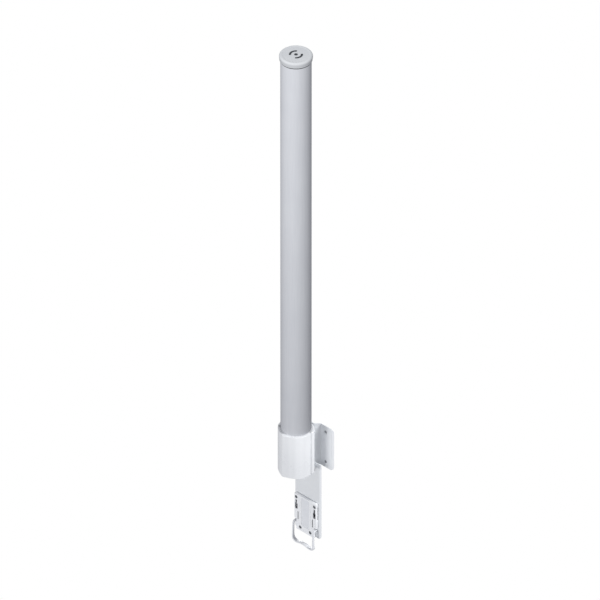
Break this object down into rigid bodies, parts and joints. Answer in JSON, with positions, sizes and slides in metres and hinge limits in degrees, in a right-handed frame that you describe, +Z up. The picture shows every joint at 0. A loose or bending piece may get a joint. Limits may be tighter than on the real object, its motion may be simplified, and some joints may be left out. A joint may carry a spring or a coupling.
{
  "type": "omnidirectional antenna",
  "caption": "Tall white tube antenna with a top cap, a collar with a winged pole bracket, and a radio plate with a cradle and a hinged release lever below.",
  "frame": {"origin": "centre of the pole-side face of the bracket web, midway between the four wing holes", "axes": "+Z up along the tube, +Y towards the pole, +X to the right seen from the front"},
  "size_m": [0.0942, 0.0705, 0.9627],
  "materials": {
    "radome": "satin fibreglass tube, gel coat",
    "white_plastic": "moulded white UV-stable plastic",
    "white_coat": "white powder coat on bent steel sheet",
    "dark_plastic": "moulded dark grey plastic",
    "rubber": "moulded seal rubber",
    "foam": "closed-cell foam",
    "dark_foam": "dark closed-cell foam pad",
    "laminate": "glass-epoxy laminate",
    "copper": "etched copper",
    "brass": "turned brass, gold plated",
    "steel": "stainless fasteners",
    "cast_alloy": "die-cast alloy",
    "cable_jacket": "coaxial cable jacket"
  },
  "bodies": {
    "antenna": {"radome_tube": "radome", "top_cap": "white_plastic", "cap_seal_ring": "rubber", "emblem_dot": "dark_plastic", "emblem_arc_left": "dark_plastic", "emblem_arc_right": "dark_plastic", "base_plug": "cast_alloy", "plug_o_ring": "rubber", "vertical_board": "laminate", "horizontal_board": "laminate", "vertical_feed_line": "copper", "horizontal_feed_line": "copper", "board_foot": "dark_plastic", "top_bumper": "foam", "feed_cable_0": "cable_jacket", "feed_cable_1": "cable_jacket", "collar_front_shell": "white_plastic", "collar_saddle": "white_plastic", "pole_bracket": "white_coat", "radio_plate": "white_coat", "cradle_pad": "dark_foam", "radio_cradle": "white_plastic", "connector_0": "brass", "connector_washer_0": "steel", "connector_nut_0": "brass", "connector_1": "brass", "connector_washer_1": "steel", "connector_nut_1": "brass", "vertical_element_0": "copper", "horizontal_element_0": "copper", "foam_spacer_0": "foam", "bracket_screw_0": "steel", "cradle_screw_0": "steel", "hole_plug_0": "rubber", "vertical_element_1": "copper", "horizontal_element_1": "copper", "foam_spacer_1": "foam", "bracket_screw_1": "steel", "cradle_screw_1": "steel", "hole_plug_1": "rubber", "vertical_element_2": "copper", "horizontal_element_2": "copper", "foam_spacer_2": "foam", "bracket_screw_2": "steel", "cradle_screw_2": "steel", "hole_plug_2": "rubber", "vertical_element_3": "copper", "horizontal_element_3": "copper", "foam_spacer_3": "foam", "bracket_screw_3": "steel", "cradle_screw_3": "steel", "hole_plug_3": "rubber"},
    "lever": {"release_lever": "white_plastic", "lever_pin_left": "steel", "lever_pin_right": "steel"}
  },
  "joints": [
    {"name": "release_lever_hinge", "type": "hinge", "parent": "antenna", "child": "lever", "pos_m": [0, -0.00715, -0.163], "axis": [-1, 0, 0], "range_deg": [0, 35]}
  ]
}
